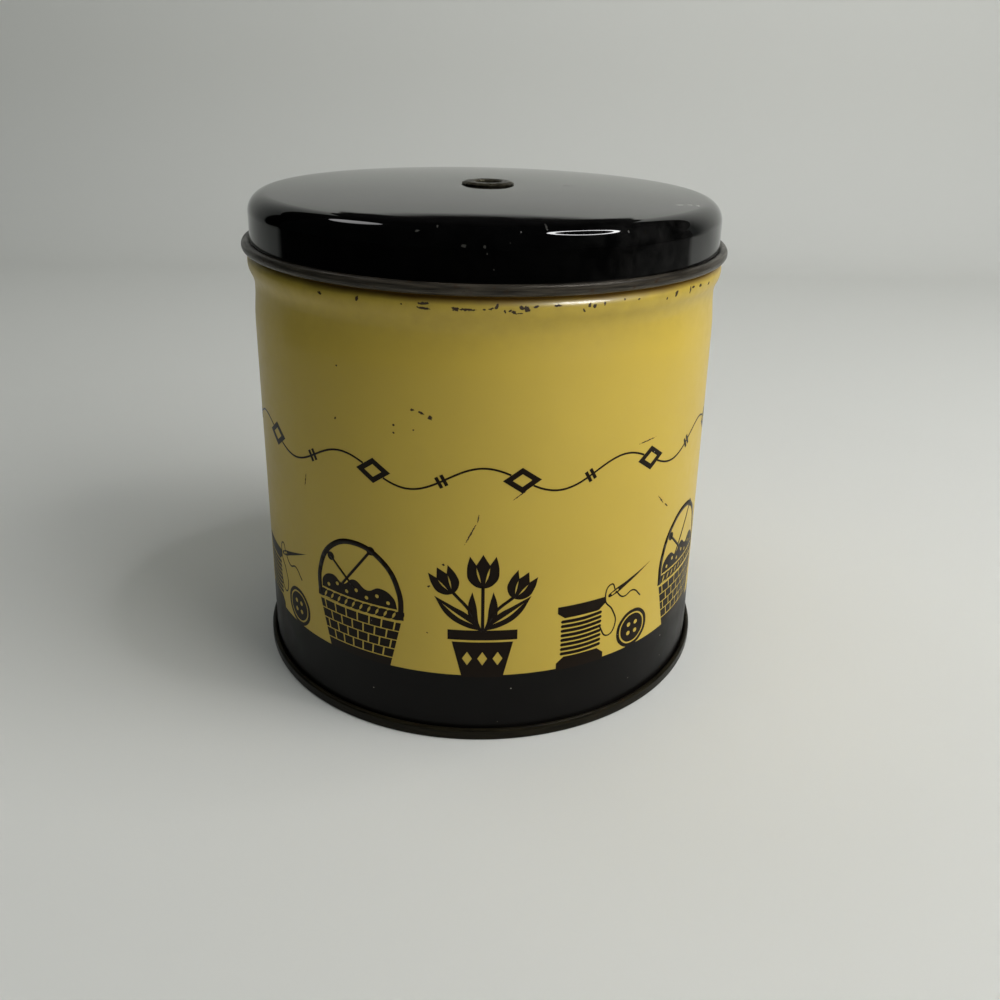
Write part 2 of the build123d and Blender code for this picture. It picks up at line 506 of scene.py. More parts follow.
def make_border(print_ink):
    """Border: hollow diamonds on a wavy line, with a pair of ticks between them."""
    pitch = 2 * pi * wall_radius / mm / border_repeats
    wide, high = diamond_half
    rhomb = corners([(-wide, 0), (0, -high), (wide, 0), (0, high)])
    window = place(rhomb, 0, 0, diamond_window)
    pieces = [fill([place(rhomb, 0, border_height), place(window, 0, border_height)])]
    in_diamond, knots = 2.6, 24
    run = [in_diamond + (pitch - 2 * in_diamond) * k / knots for k in range(knots + 1)]
    wave = [(x, border_height - wave_height * sin(2 * pi * x / pitch)) for x in run]
    pieces.append(line(wave, wave_width, 0.8))
    turn = 2 * pi * tick_share
    slope = atan(-2 * pi * wave_height / pitch * cos(turn)) * 180 / pi
    centre = (tick_share * pitch, border_height - wave_height * sin(turn))
    long, thick = tick_size
    stroke = corners([(-thick / 2, -long / 2), (thick / 2, -long / 2),
                      (thick / 2, long / 2), (-thick / 2, long / 2)])
    for side in (-1, 1):
        away = place([(side * tick_gap / 2, 0)], *centre, 1, slope)[0]
        pieces.append(fill([place(stroke, away[0], away[1], 1, slope)]))
    piece = wrap(pieces, "print_border", border_repeats, first_diamond)
    piece.data.materials.append(print_ink)
    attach(piece, "tin")


def tulip_pot(x, z):
    """A pot with three tulips, their petals and leaves parted by fine gaps."""
    pot = corners([(-5, -0.5), (5, -0.5), (7.4, 9.4), (-7.4, 9.4)])
    rim = corners([(-8.4, 10), (8.4, 10), (8.4, 12.7), (-8.4, 12.7)])
    rhomb = corners([(-1.2, 0), (0, -1.9), (1.2, 0), (0, 1.9)])
    shapes = [pot, rim] + [place(rhomb, side * 3.7, 4.8) for side in (-1, 0, 1)]
    leaf = [(-0.2, 12.6, 1), (-4.2, 13.7), (-8.6, 16.6), (-11.6, 21.6, 1), (-7.2, 19.2),
            (-3.4, 16.9)]
    rib = [(-2.2, 14.3, 1), (-5.9, 16.2), (-9.9, 19.9, 1), (-5.7, 16.8)]
    blade = [(0.5, 12.6, 1), (3.1, 15.8), (3.5, 19.4), (2.5, 23.2, 1), (1.5, 19.2), (1.1, 15.6)]
    head = [(0, 0), (3.2, 1.8), (3.8, 4.8), (3.1, 8.4, 1), (1.6, 6.1, 1), (0, 8.9, 1),
            (-1.6, 6.1, 1), (-3.1, 8.4, 1), (-3.8, 4.8), (-3.2, 1.8)]
    petal = [(1.6, 5.5, 1), (1.35, 3.4), (0.5, 1.3, 1), (0.9, 3.5)]
    pieces = [fill([place(shape, x, z) for shape in shapes])]
    for turned in (list, mirror):
        pieces.append(fill([place(turned(shape), x, z) for shape in (leaf, rib)], 0.97))
        pieces.append(fill([place(turned(blade), x, z)], 0.94))
    for across, up, size, tilt in ((0, 24.2, 1, 0), (-7.3, 22.5, 0.86, 28), (7.5, 21.2, 0.86, -26)):
        shapes = [place(shape, across, up, size, tilt) for shape in (head, petal, mirror(petal))]
        pieces.append(fill([place(shape, x, z) for shape in shapes], 0.91))
        stem = [(across * 0.06, 12.3), (across * 0.36, 17.4), (across, up + 0.6)]
        pieces.append(line(place(stem, x, z), 0.8, 0.85))
    return pieces


def thread_spool(x, z):
    """A wooden spool with its thread wound in slanting turns."""
    flange = corners([(-6.6, -0.5), (6.6, -0.5), (6.6, 1.5), (4.7, 3.1), (-4.7, 3.1), (-6.6, 1.5)])
    cap = corners([(-4.7, 14.1), (4.7, 14.1), (6.6, 15.6), (6.6, 17.4), (-6.6, 17.4), (-6.6, 15.6)])
    turns, pitch = 8, 1.3
    shapes = [flange, cap]
    for k in range(turns):
        low = 3.5 + pitch * k
        shapes.append([(-5.4, low + 0.1, 1), (0, low - 0.05), (5.4, low + 0.35, 1),
                       (5.7, low + 0.8), (5.4, low + 1.2, 1), (0, low + 0.85),
                       (-5.4, low + 0.95, 1), (-5.7, low + 0.5)])
    return [fill([place(shape, x, z) for shape in shapes])]


def needle_and_thread(x, z):
    """The spool's thread, led through the eye of a needle."""
    needle = [(0, 0), (1.7, 0.62), (6, 0.5), (15, 0, 1), (6, -0.5), (1.7, -0.62)]
    eye = [(1.0, 0), (2.2, 0.24), (3.4, 0), (2.2, -0.24)]
    thread = [(5.0, 9.6), (7.9, 5.9), (10.1, 8.6), (8.9, 13.0), (6.6, 16.4), (8.2, 20.4),
              (9.6, 18.2)]
    tail = [(9.7, 18.0), (12.4, 15.6), (15.6, 16.4), (18.6, 13.8)]
    return [fill([place(place(shape, 7.4, 17.1, 1, 21), x, z) for shape in (needle, eye)], 0.97),
            line(place(thread, x, z), 0.4, 0.83), line(place(tail, x, z), 0.4, 0.8)]


def coat_button(x, z):
    """A button with a raised ring and four holes, stood on its edge."""
    shapes = [disc(0, 5.2, 5.4), disc(0, 5.2, 4.45), disc(0, 5.2, 4.0)]
    shapes += [disc(dx * 1.25, 5.2 + dz * 1.25, 0.62) for dx in (-1, 1) for dz in (-1, 1)]
    return [fill([place(shape, x, z) for shape in shapes])]


def sewing_basket(x, z):
    """A woven basket with a roped rim, a spotted cloth, a handle and two needles."""
    bottom, top, high, rows, gap = 9.4, 12.6, 13.0, 5, 0.42
    shapes = []
    for row in range(rows):
        low, up = high * row / rows - 0.1, high * (row + 1) / rows - gap
        cuts = [-1 + 2 * k / 7 for k in range(8)] if row % 2 else \
            [-1] + [-1 + 2 * (k + 0.5) / 7 for k in range(7)] + [1]
        if row == 0:
            cuts = [-1, 1]
        for a, b in zip(cuts, cuts[1:]):
            wide = [bottom + (top - bottom) * level / high for level in (low, up)]
            shapes.append(corners([(a * wide[0] + gap / 2, low), (b * wide[0] - gap / 2, low),
                                   (b * wide[1] - gap / 2, up), (a * wide[1] + gap / 2, up)]))
    strand = [(-1.5, 0, 1), (0.4, 0.1), (1.6, 1.2), (1.7, 2.4, 1), (-0.2, 2.3), (-1.4, 1.2)]
    shapes += [place(strand, 2.3 * k, 13.3) for k in range(-5, 6)]
    cloth = [(-11.4, 16.2, 1), (-10.9, 18.9), (-7.4, 20.8), (-4.2, 19.3), (-0.6, 21.5), (3.2, 19.6),
             (6.8, 21.0), (10.4, 19.2), (11.4, 16.2, 1)]
    spots = [disc(-9 + 3 * k, 17.5 + 1.2 * (k % 2), 0.5) for k in range(7)]
    pieces = [fill([place(shape, x, z) for shape in shapes]),
              fill([place(shape, x, z) for shape in [cloth] + spots], 0.96)]
    handle = [(-12.3, 13.4), (-11.9, 21), (-7.6, 28.6), (0, 31.6), (7.6, 28.6), (11.9, 21),
              (12.3, 13.4)]
    pieces.append(line(place(handle, x, z), 1.4, 0.92))
    for foot, end in (((-4.4, 19.2), (4.6, 30.6)), ((-0.6, 19.2), (-7.8, 25.8))):
        pieces.append(line(place([foot, end], x, z), 0.7, 0.88))
        pieces.append(fill([place(disc(end[0], end[1], 1.15), x, z)], 0.85))
    return pieces


def make_frieze(print_ink):
    """Frieze: sewing things and a flower pot that stand on the black band."""
    foot = band_top / mm
    pieces = tulip_pot(0, foot) + thread_spool(25, foot) + needle_and_thread(25, foot)
    pieces += coat_button(41.2, foot) + sewing_basket(64, foot)
    piece = wrap(pieces, "print_frieze", frieze_repeats)
    piece.data.materials.append(print_ink)
    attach(piece, "tin")


def linear(code):
    """A colour from its sRGB hex code."""
    shares = [int(code[at:at + 2], 16) / 255 for at in (1, 3, 5)]
    return tuple(((c + 0.055) / 1.055) ** 2.4 if c > 0.04045 else c / 12.92 for c in shares) + (1,)


def add(tree, kind, inputs=None, **settings):
    """Adds one node with its settings. An input is given a value, a hex colour, a socket, or a
    node, which stands for the first output that it shows. A Map Range takes its value in 0,
    its span in 1 and 2 and its results in 3 and 4. A Mix takes its share in 0 and what it
    mixes in 2 and 3, or colours in 6 and 7."""
    made = tree.nodes.new("ShaderNode" + kind)
    for name, setting in settings.items():
        setattr(made, name, setting)
    for name, given in (inputs or {}).items():
        if isinstance(given, bpy.types.Node):
            given = next(output for output in given.outputs if output.enabled)
        if isinstance(given, bpy.types.NodeSocket):
            tree.links.new(given, made.inputs[name])
        else:
            made.inputs[name].default_value = linear(given) if isinstance(given, str) else given
    return made


def new_finish(name):
    """An empty material and its node tree."""
    finish = bpy.data.materials.new(name)
    finish.use_nodes = True
    finish.node_tree.nodes.clear()
    return finish, finish.node_tree


def in_mm(tree):
    """Object coordinates in millimetres, so a noise of Scale 0.5 has blotches about 2 mm wide."""
    coordinates = add(tree, "TexCoord")
    return add(tree, "VectorMath", {0: coordinates.outputs["Object"], "Scale": 1000},
               operation="SCALE")


def wall_mm(tree, point):
    """Millimetres round the wall from its front, and up it."""
    axes = add(tree, "SeparateXYZ", {0: point})
    front = add(tree, "Math", {0: axes.outputs["Y"], 1: -1}, operation="MULTIPLY")
    turn = add(tree, "Math", {0: axes.outputs["X"], 1: front}, operation="ARCTAN2")
    arc = add(tree, "Math", {0: turn, 1: wall_radius / mm}, operation="MULTIPLY")
    return add(tree, "CombineXYZ", {"X": arc, "Y": axes.outputs["Z"]})


def worn_spots(tree, point, spots, ragged):
    """1 inside worn spots and 0 outside. A spot has its place, half its size and its turn, and
    its edge wanders by up to about ragged mm, as paint does where it breaks off."""
    wander = add(tree, "TexNoise", {"Vector": point, "Scale": 2.4, "Detail": 4.0})
    shift = add(tree, "VectorMath", {0: wander.outputs["Color"], 1: (0.5, 0.5, 0.5)},
                operation="SUBTRACT")
    jitter = add(tree, "VectorMath", {0: shift, "Scale": ragged}, operation="SCALE")
    moved = add(tree, "VectorMath", {0: point, 1: jitter}, operation="ADD")
    nearest = None
    for location, size, turn in spots:
        here = add(tree, "Mapping", {0: moved, "Location": location, "Scale": size,
                   "Rotation": (0, 0, radians(turn))}, vector_type="TEXTURE")
        away = add(tree, "VectorMath", {0: here}, operation="LENGTH")
        if nearest is not None:
            away = add(tree, "Math", {0: nearest, 1: away}, operation="MINIMUM")
        nearest = away
    crumbs = add(tree, "TexNoise", {"Vector": point, "Scale": 1.9, "Detail": 4.0})
    edge = add(tree, "Math", {0: crumbs, 1: 1.6, 2: nearest}, operation="MULTIPLY_ADD")
    return add(tree, "MapRange", {0: edge, 1: 1.65, 2: 1.85, 3: 1, 4: 0})


def on_wall(spots):
    """Spots on the wall, from their degrees from the front, height, width, depth and turn."""
    return [((radians(turn) * wall_radius / mm, height, 0), (wide / 2, high / 2, 1), tilt)
            for turn, height, wide, high, tilt in spots]


def specks(tree, point, spacing, size, share):
    """Round specks of a size in mm, one to a cell of the given spacing in a share of the cells."""
    cells = add(tree, "TexVoronoi", {"Vector": point, "Scale": 1 / spacing})
    near = add(tree, "MapRange", {0: cells, 1: size / spacing * 0.35, 2: size / spacing * 0.6,
                                  3: 1, 4: 0})
    chance = add(tree, "SeparateColor", {0: cells.outputs["Color"]})
    kept = add(tree, "Math", {0: chance, 1: share}, operation="LESS_THAN")
    return add(tree, "Math", {0: near, 1: kept}, operation="MULTIPLY")


# Chips in the print along the bead, from their degrees, height, width, depth and turn
bead_chips = [
    (-35.9, 109.6, 1.2, 0.7, -20), (-26.5, 109.8, 0.8, 1.1, -15), (-16.8, 109.7, 0.5, 0.4, 0),
    (-12.2, 110.2, 2.7, 0.6, 4), (-12.2, 109.2, 2.8, 0.55, -4), (-5.9, 109.4, 1.6, 1.0, 0),
    (-3.6, 109.3, 3.8, 0.55, 0), (-0.4, 109.4, 0.7, 0.45, 0), (0.9, 109.6, 1.1, 0.45, 15),
    (2.0, 110.1, 0.8, 1.1, -40), (3.6, 109.0, 0.4, 0.9, 20), (4.6, 109.2, 0.9, 0.5, 20),
    (5.3, 108.9, 1.0, 0.8, 0), (6.2, 108.6, 2.2, 0.35, 0), (6.9, 109.8, 1.3, 0.8, -20),
    (7.9, 109.5, 1.1, 1.5, 30), (9.7, 110.0, 1.3, 0.55, 8), (14.1, 110.1, 1.9, 0.6, 0),
    (19.6, 108.8, 1.0, 0.45, -45), (20.8, 109.8, 0.7, 1.0, 0), (21.9, 109.5, 0.9, 0.8, 20),
    (24.2, 109.9, 0.7, 0.8, 0), (29.1, 110.3, 0.5, 0.45, 0), (32.7, 110.0, 0.8, 0.45, 0),
    (41.0, 109.0, 0.6, 0.6, 0), (44.2, 109.6, 1.0, 1.8, -35), (49.6, 109.5, 0.6, 1.8, -15),
    (50.9, 110.0, 1.2, 0.6, 0), (54.4, 109.8, 1.5, 0.8, 15), (59.3, 109.4, 1.4, 0.6, 20)]

# Dents, scratches and pits in the wall's print, given in the same way
wall_marks = [
    (-15.2, 85.8, 1.0, 0.65, 0), (-13.3, 85.3, 1.4, 0.65, -20), (-11.4, 84.3, 1.2, 1.0, 0),
    (-19.4, 81.7, 0.55, 0.5, 0), (-19.4, 79.8, 0.6, 0.55, 0), (-15.0, 81.1, 0.5, 0.45, 0),
    (-34.1, 80.5, 0.6, 0.6, 0), (-1.2, 60.2, 2.2, 0.32, 80), (-2.7, 56.6, 6.4, 0.36, 64),
    (-45.1, 61.7, 4.0, 0.32, 78), (46.1, 56.7, 3.4, 0.36, -48), (48.6, 54.4, 2.0, 0.36, -40),
    (7.7, 66.1, 3.6, 0.3, 36), (39.2, 74.5, 5.5, 0.34, 5), (-33.1, 93.4, 0.55, 0.5, 0),
    (-8.7, 48.0, 0.6, 0.6, 0), (-12.0, 42.0, 0.9, 0.55, 55), (-12.5, 29.2, 0.45, 0.45, 0)]

# Heights on the wall in mm that its wear, dirt and painted shade keep to
shade_and_grime_foot, shade_and_grime_top = 97.0, 110.0
rust_and_shade_foot, rust_and_shade_top = 111.1, 112.3
chip_height, chip_reach = 109.6, 0.9


def litho_yellow():
    """Lithographed tinplate: yellow ink printed on flat sheet and stoved under clear varnish. It
    is even and satin, with a soft sheen over a faint unevenness, darkened towards the bead by
    dirt and painted shade, browned under the lid's curl by rust and painted shade, and chipped
    to brown rusty steel along the bead, where the lid rubs."""
    finish, tree = new_finish("lithographed tinplate, varnished yellow")
    point = in_mm(tree)
    axes = add(tree, "SeparateXYZ", {0: point})
    # The ink's tone drifts slowly, over some 25 mm
    cloud = add(tree, "TexNoise", {"Vector": point, "Scale": 0.04, "Detail": 3.0})
    tone = add(tree, "Mix", {0: cloud, 6: "#CBAF44", 7: "#BEA342"}, data_type="RGBA")
    # Dirt and painted shade in blotches of about 3 mm, darker towards the bead, where the cove
    # under it lies in shade
    mottle = add(tree, "TexNoise", {"Vector": point, "Scale": 0.35, "Detail": 4.0})
    near_bead = add(tree, "MapRange", {0: axes.outputs["Z"], 1: shade_and_grime_foot, 2: shade_and_grime_top,
                                       3: 0.0, 4: 0.55})
    shade_and_grime = add(tree, "Math", {0: mottle, 1: near_bead}, operation="MULTIPLY")
    tone = add(tree, "Mix", {0: shade_and_grime, 6: tone, 7: "#8C7A36"}, data_type="RGBA")
    # Rust that has run out from under the lid's curl, with painted shade under the curl
    wander = add(tree, "Math", {0: cloud, 1: 1.6, 2: axes.outputs["Z"]}, operation="MULTIPLY_ADD")
    rust_and_shade_under_curl = add(tree, "MapRange", {0: wander, 1: rust_and_shade_foot, 2: rust_and_shade_top, 4: 0.85})
    tone = add(tree, "Mix", {0: rust_and_shade_under_curl, 6: tone, 7: "#5E390F"}, data_type="RGBA")
    # Chips about 1 mm wide, scattered along the bead at the back
    behind = add(tree, "MapRange", {0: axes.outputs["Y"], 1: 0.0, 2: 20.0})
    crest = add(tree, "Math", {0: axes.outputs["Z"], 1: chip_height, 2: chip_reach},
                operation="COMPARE")
    patches = add(tree, "TexNoise", {"Vector": point, "Scale": 0.9, "Detail": 2.0})
    bare = add(tree, "MapRange", {0: patches, 1: 0.66, 2: 0.68})
    crest_chips = add(tree, "Math", {0: bare, 1: crest}, operation="MULTIPLY")
    back_chips = add(tree, "Math", {0: crest_chips, 1: behind}, operation="MULTIPLY")
    front_chips = worn_spots(tree, wall_mm(tree, point), on_wall(bead_chips + wall_marks), 0.45)
    chips = add(tree, "Math", {0: front_chips, 1: back_chips}, operation="MAXIMUM")
    pinholes = specks(tree, point, 9.0, 0.5, 0.12)
    worn = add(tree, "Math", {0: chips, 1: pinholes}, operation="MAXIMUM")
    colour = add(tree, "Mix", {0: worn, 6: tone, 7: "#33240F"}, data_type="RGBA")
    sheen = add(tree, "MapRange", {0: mottle, 1: 0.3, 2: 0.7, 3: 0.37, 4: 0.44})
    roughness = add(tree, "Mix", {0: worn, 2: sheen, 3: 0.75})
    varnish = add(tree, "MapRange", {0: worn, 3: 0.2, 4: 0.03})
    # The sheet waves over some 17 mm. Varnish peels over about 0.3 mm, drawn here as 1 mm.
    ripple = add(tree, "TexNoise", {"Vector": point, "Scale": 0.06, "Detail": 1.0})
    waves = add(tree, "Bump", {"Height": ripple, "Strength": 0.3, "Distance": 0.15 * mm})
    peel = add(tree, "TexNoise", {"Vector": point, "Scale": 1.1, "Detail": 2.0})
    skin = add(tree, "Bump", {"Height": peel, "Normal": waves, "Strength": 0.25,
                              "Distance": 0.01 * mm})
    shader = add(tree, "BsdfPrincipled", {
        "Base Color": colour, "Roughness": roughness, "Specular IOR Level": 0.2,
        "Coat Weight": varnish, "Coat Roughness": 0.12, "Normal": skin})
    add(tree, "OutputMaterial", {"Surface": shader})
    return finish


def litho_black(name, deep, thin, fleck_share):
    """Black lithographed ink under the same varnish: a soft brown-black with less gloss, which
    shows dust specks about 0.3 mm wide and thins to brown in clouds of about 8 mm."""
    finish, tree = new_finish(name)
    point = in_mm(tree)
    cloud = add(tree, "TexNoise", {"Vector": point, "Scale": 0.12, "Detail": 4.0})
    tone = add(tree, "Mix", {0: cloud, 6: deep, 7: thin}, data_type="RGBA")
    flecks = specks(tree, point, 3.4, 0.32, fleck_share)
    colour = add(tree, "Mix", {0: flecks, 6: tone, 7: "#A29D90"}, data_type="RGBA")
    sheen = add(tree, "MapRange", {0: cloud, 1: 0.3, 2: 0.7, 3: 0.3, 4: 0.42})
    # Varnish peels over about 0.3 mm, drawn here as 1 mm
    peel = add(tree, "TexNoise", {"Vector": point, "Scale": 1.1, "Detail": 2.0})
    skin = add(tree, "Bump", {"Height": peel, "Strength": 0.25, "Distance": 0.01 * mm})
    shader = add(tree, "BsdfPrincipled", {"Base Color": colour, "Roughness": sheen,
                                          "Specular IOR Level": 0.11, "Normal": skin})
    add(tree, "OutputMaterial", {"Surface": shader})
    return finish


# Specks in the lid's enamel and scuffs near its edge, from their place, size and turn
lid_marks = [
    ((-4.8, -61.1, 122.5), (0.5, 1, 0.3), 25), ((-0.5, -61.3, 122.4), (0.3, 1, 0.3), 0),
    ((0.0, -61.4, 121.0), (0.14, 1, 0.22), 0), ((-10.3, -57.7, 125.9), (0.18, 0.5, 0.5), 0),
    ((-14.5, -58.2, 124.9), (0.45, 0.5, 0.25), 0), ((4.8, -60.9, 123.2), (0.14, 1, 0.14), 0),
    ((1.5, -61.4, 117.7), (0.14, 1, 0.14), 0), ((7.0, -59.2, 125.3), (0.15, 0.3, 0.25), 0),
    ((12.3, -56.7, 126.0), (0.18, 1.7, 0.9), 8), ((20.9, 0.0, 127.8), (1.6, 0.25, 1), 10),
    ((30.4, -52.0, 124.6), (0.2, 0.3, 0.3), 0), ((34.0, -50.6, 118.0), (0.2, 0.3, 0.2), 0)]
lid_scuffs = [
    ((46.8, -23.3, 126.7), (1.1, 0.45, 0.6), 20), ((49.5, -22.1, 126.5), (0.8, 0.45, 0.6), -20),
    ((51.3, -22.6, 126.4), (0.5, 0.6, 0.5), 0)]


def gloss_enamel():
    """Stoved enamel, flowed on and baked: deep black with a mirror gloss that shows each speck
    of dust, each scuff and grey smears of hands, with a painted grey reflection mixed into
    the smears, most on its right side."""
    finish, tree = new_finish("stoved enamel, gloss black")
    point = in_mm(tree)
    # Dust specks about 0.3 mm wide, thicker here and there
    dust = specks(tree, point, 7.0, 0.3, 0.3)
    drift = add(tree, "TexNoise", {"Vector": point, "Scale": 0.05})
    settled = add(tree, "Math", {0: dust, 1: drift}, operation="MULTIPLY")
    marks = add(tree, "Math", {0: worn_spots(tree, point, lid_marks, 0.5), 1: settled},
                operation="MAXIMUM")
    # Finger smears about 5 mm wide, with a painted grey reflection, strongest on the right side
    smears = add(tree, "TexNoise", {"Vector": point, "Scale": 0.22, "Detail": 8.0,
                                    "Roughness": 0.62, "Distortion": 0.4})
    smear_and_reflection_blotches = add(tree, "MapRange", {0: smears, 1: 0.4, 2: 0.72, 3: 0, 4: 0.5})
    axes = add(tree, "SeparateXYZ", {0: point})
    # The painted grey reflection grows from the middle towards the right side
    right_side_reflection = add(tree, "MapRange", {0: axes, 1: 12.0, 2: 34.0, 3: 0.12, 4: 1})
    smear_and_reflection = add(tree, "Math", {0: smear_and_reflection_blotches, 1: right_side_reflection}, operation="MULTIPLY")
    tone = add(tree, "Mix", {0: smear_and_reflection, 6: "#030303", 7: "#242322"}, data_type="RGBA")
    tone = add(tree, "Mix", {0: marks, 6: tone, 7: "#34332F"}, data_type="RGBA")
    scuffs = worn_spots(tree, point, lid_scuffs, 0.5)
    colour = add(tree, "Mix", {0: scuffs, 6: tone, 7: "#A8A69E"}, data_type="RGBA")
    haze = add(tree, "TexNoise", {"Vector": point, "Scale": 0.08, "Detail": 5.0})
    sheen = add(tree, "MapRange", {0: haze, 1: 0.35, 2: 0.7, 3: 0.02, 4: 0.05})
    roughness = add(tree, "Mix", {0: marks, 2: sheen, 3: 0.6})
    # The pressing waves over some 11 mm, and the enamel's peel is 1.5 mm wide
    ripple = add(tree, "TexNoise", {"Vector": point, "Scale": 0.09, "Detail": 1.0})
    waves = add(tree, "Bump", {"Height": ripple, "Strength": 0.15, "Distance": 0.05 * mm})
    peel = add(tree, "TexNoise", {"Vector": point, "Scale": 0.7, "Detail": 1.0})
    skin = add(tree, "Bump", {"Height": peel, "Normal": waves, "Strength": 0.2,
                              "Distance": 0.008 * mm})
    shader = add(tree, "BsdfPrincipled", {"Base Color": colour, "Roughness": roughness,
                                          "Normal": skin})
    add(tree, "OutputMaterial", {"Surface": shader})
    return finish


def rubbed_edge(name, dark, rubbed, rusty, metallic, gloss, roughness):
    """A rolled edge: enamel or lacquer over steel, worn thin by hands and by the table. Grey-brown
    metal shows in streaks along the roll, with rust spots about 2 mm wide, and it shines
    where it is smoothest. Real rub marks are about 0.1 mm wide and are drawn as 0.5 mm."""
    finish, tree = new_finish(name)
    point = in_mm(tree)
    along = add(tree, "Mapping", {0: wall_mm(tree, point), "Scale": (0.12, 2.2, 1)})
    streaks = add(tree, "TexNoise", {"Vector": along, "Scale": 1.0, "Detail": 5.0})
    thin = add(tree, "MapRange", {0: streaks, 1: 0.35, 2: 0.68})
    tone = add(tree, "Mix", {0: thin, 6: dark, 7: rubbed}, data_type="RGBA")
    rust = add(tree, "TexNoise", {"Vector": point, "Scale": 0.5, "Detail": 6.0})
    spots = add(tree, "MapRange", {0: rust, 1: 0.62, 2: 0.72, 3: 0, 4: 0.8})
    colour = add(tree, "Mix", {0: spots, 6: tone, 7: rusty}, data_type="RGBA")
    sheen = add(tree, "MapRange", {0: streaks, 1: 0.3, 2: 0.7, 3: roughness + 0.08,
                                   4: roughness - 0.04})
    scratches = add(tree, "Bump", {"Height": streaks, "Strength": 0.5, "Distance": 0.03 * mm})
    pitting = add(tree, "Bump", {"Height": rust, "Normal": scratches, "Strength": 0.5,
                                 "Distance": 0.03 * mm})
    shader = add(tree, "BsdfPrincipled", {
        "Base Color": colour, "Metallic": metallic, "Roughness": sheen,
        "Specular IOR Level": gloss, "Normal": pitting})
    add(tree, "OutputMaterial", {"Surface": shader})
    return finish


def bare_tinplate():
    """Tinplate, rolled and dipped in tin: pale and soft-bright inside the tin, with faint lines
    across it from the rolls and rust specks 0.7 mm wide. The lines are drawn 0.3 mm apart,
    where the rolls leave them at some hundredths of a millimetre."""
    finish, tree = new_finish("bare tinplate, aged")
    point = in_mm(tree)
    cloud = add(tree, "TexNoise", {"Vector": point, "Scale": 0.1, "Detail": 4.0})
    tone = add(tree, "Mix", {0: cloud, 6: "#A69F8C", 7: "#C2BCAC"}, data_type="RGBA")
    rust = specks(tree, point, 6.0, 0.7, 0.3)
    colour = add(tree, "Mix", {0: rust, 6: tone, 7: "#5B3F22"}, data_type="RGBA")
    sheen = add(tree, "MapRange", {0: cloud, 1: 0.3, 2: 0.7, 3: 0.28, 4: 0.4})
    lines = add(tree, "Mapping", {0: point, "Scale": (0.1, 0.1, 3.0)})
    grain = add(tree, "TexNoise", {"Vector": lines, "Scale": 1.0, "Detail": 3.0})
    skin = add(tree, "Bump", {"Height": grain, "Strength": 0.3, "Distance": 0.01 * mm})
    shader = add(tree, "BsdfPrincipled", {"Base Color": colour, "Metallic": 1.0,
                                          "Roughness": sheen, "Normal": skin})
    add(tree, "OutputMaterial", {"Surface": shader})
    return finish


def eyelet_steel():
    """Plated steel, pressed and tarnished: olive-grey metal in patches of about 2 mm, dull with
    tarnish and bright where the yarn and fingers wear it, over a grain of 0.25 mm."""
    finish, tree = new_finish("plated steel, tarnished")
    point = in_mm(tree)
    cloud = add(tree, "TexNoise", {"Vector": point, "Scale": 0.6, "Detail": 5.0})
    share = add(tree, "MapRange", {0: cloud, 1: 0.35, 2: 0.65})
    colour = add(tree, "Mix", {0: share, 6: "#3A362A", 7: "#656050"}, data_type="RGBA")
    sheen = add(tree, "MapRange", {0: cloud, 1: 0.3, 2: 0.7, 3: 0.42, 4: 0.24})
    fine = add(tree, "TexNoise", {"Vector": point, "Scale": 4.0, "Detail": 3.0})
    skin = add(tree, "Bump", {"Height": fine, "Strength": 0.4, "Distance": 0.02 * mm})
    shader = add(tree, "BsdfPrincipled", {"Base Color": colour, "Metallic": 0.7,
                                          "Roughness": sheen, "Normal": skin})
    add(tree, "OutputMaterial", {"Surface": shader})
    return finish


